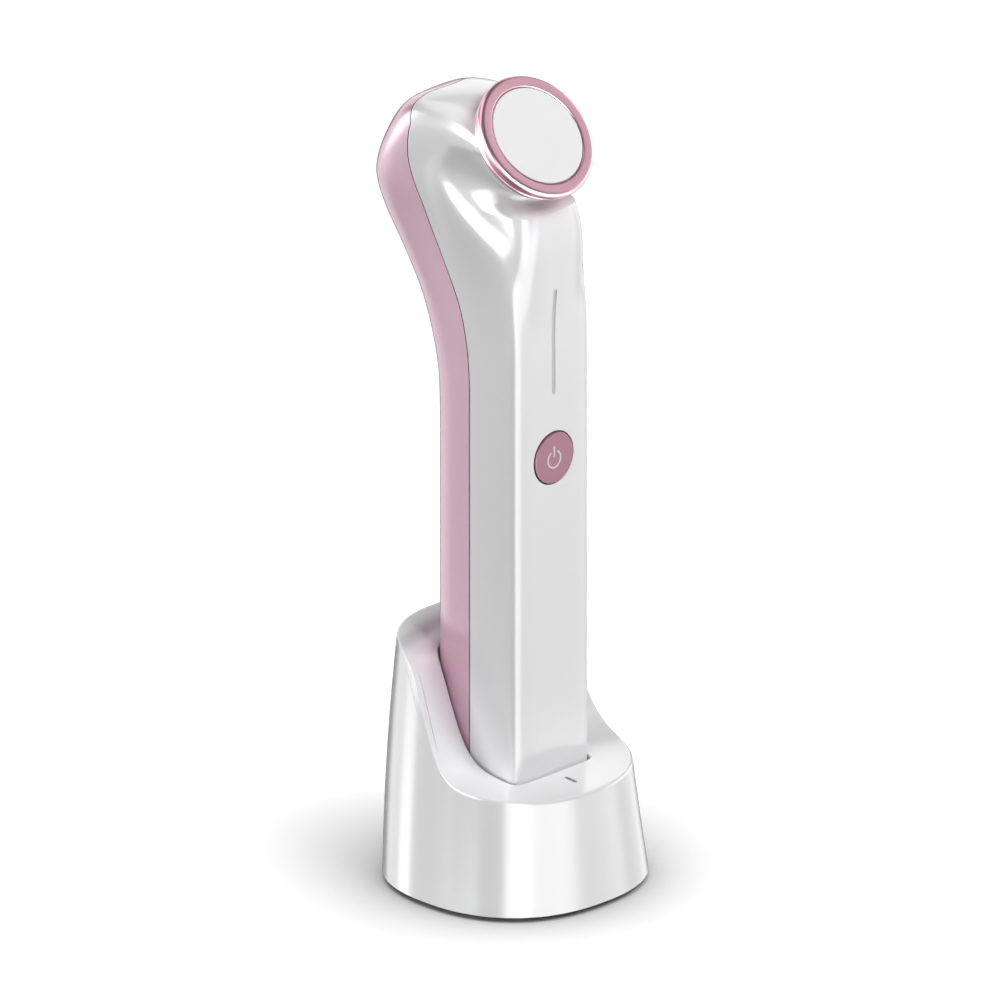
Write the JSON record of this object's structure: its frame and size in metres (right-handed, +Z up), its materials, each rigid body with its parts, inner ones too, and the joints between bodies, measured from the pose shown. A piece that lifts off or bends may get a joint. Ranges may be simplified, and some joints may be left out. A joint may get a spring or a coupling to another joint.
{
  "type": "facial toning device with charging dock",
  "caption": "Cordless facial toning handset with a swept-back head, round plate and push button, standing in a scooped charging dock with sprung contacts.",
  "frame": {"origin": "centre of the dock's foot, in the plane it stands on, under the handle's axis", "axes": "+Z up along the handle; -Y towards the front, the side the treatment plate and button face; +X to the device's side, along the plane of the head's tilt axis"},
  "size_m": [0.064, 0.0708, 0.2134],
  "materials": {
    "white_gloss": "glossy white ABS",
    "rose_gloss": "glossy pearl rose ABS",
    "rose_metal": "anodised rose, satin turned face",
    "white_satin": "satin white ceramic-look coating",
    "seal_rubber": "matt silicone",
    "foot_rubber": "matt silicone",
    "film": "amber polyimide film",
    "grey_plastic": "moulded, matt",
    "black_plastic": "moulded, matt",
    "steel": "nickel plated",
    "lead_insulation": "insulated lead",
    "cell_sleeve": "shrink sleeve over a metal can",
    "board": "solder mask green",
    "contact_gold": "gold plated",
    "lamp": "clear lamp body",
    "light_pipe": "translucent moulding"
  },
  "bodies": {
    "dock": {"dock_shell": "white_gloss", "dock_base": "white_gloss", "foot_pad": "foot_rubber", "ballast_plate": "steel", "base_screws": "steel", "dock_board": "board", "dock_board_screws": "steel", "power_socket": "steel", "dock_led": "lamp", "dock_light_pipe": "light_pipe", "pin_barrels": "contact_gold", "pin_spring_left": "steel", "pin_spring_right": "steel"},
    "handset": {"front_casing": "white_gloss", "rear_casing": "rose_gloss", "head_ring": "rose_metal", "treatment_plate": "white_satin", "plate_seal": "seal_rubber", "warming_film": "film", "backing_pad": "seal_rubber", "plate_carrier": "grey_plastic", "motor_holder": "grey_plastic", "holder_screws": "steel", "motor_can": "steel", "head_leads": "lead_insulation", "motor_leads": "lead_insulation", "chassis": "grey_plastic", "battery_cell": "cell_sleeve", "battery_straps": "black_plastic", "battery_leads": "lead_insulation", "main_board": "board", "board_screws": "steel", "push_switch": "black_plastic", "button_pad": "seal_rubber", "indicator_leds": "lamp", "light_guide": "light_pipe", "bottom_cap": "white_gloss", "charge_contacts": "contact_gold", "charge_leads": "lead_insulation"},
    "button": {"power_button": "rose_metal", "switch_plunger": "black_plastic"},
    "motor_rotor": {"motor_shaft": "steel", "motor_weight": "steel"},
    "pin_left": {"contact_pin_left": "contact_gold"},
    "pin_right": {"contact_pin_right": "contact_gold"}
  },
  "joints": [
    {"name": "handset_lift", "type": "slide", "parent": "dock", "child": "handset", "axis": [0, 0, 1], "range_m": [0, 0.06]},
    {"name": "button_press", "type": "slide", "parent": "handset", "child": "button", "axis": [0, 1, 0], "range_m": [0, 0.0004], "stiffness_N_per_m": 500, "springref_m": -0.0002, "deforming": ["button_pad"]},
    {"name": "motor_spin", "type": "hinge", "parent": "handset", "child": "motor_rotor", "pos_m": [0, 0.00296, 0.19009], "axis": [1, 0, 0], "continuous": true},
    {"name": "pin_left_press", "type": "slide", "parent": "dock", "child": "pin_left", "axis": [0, 0, 1], "range_m": [-0.001, 0], "stiffness_N_per_m": 200, "deforming": ["pin_spring_left"]},
    {"name": "pin_right_press", "type": "slide", "parent": "dock", "child": "pin_right", "axis": [0, 0, 1], "range_m": [-0.001, 0], "stiffness_N_per_m": 200, "deforming": ["pin_spring_right"]}
  ]
}
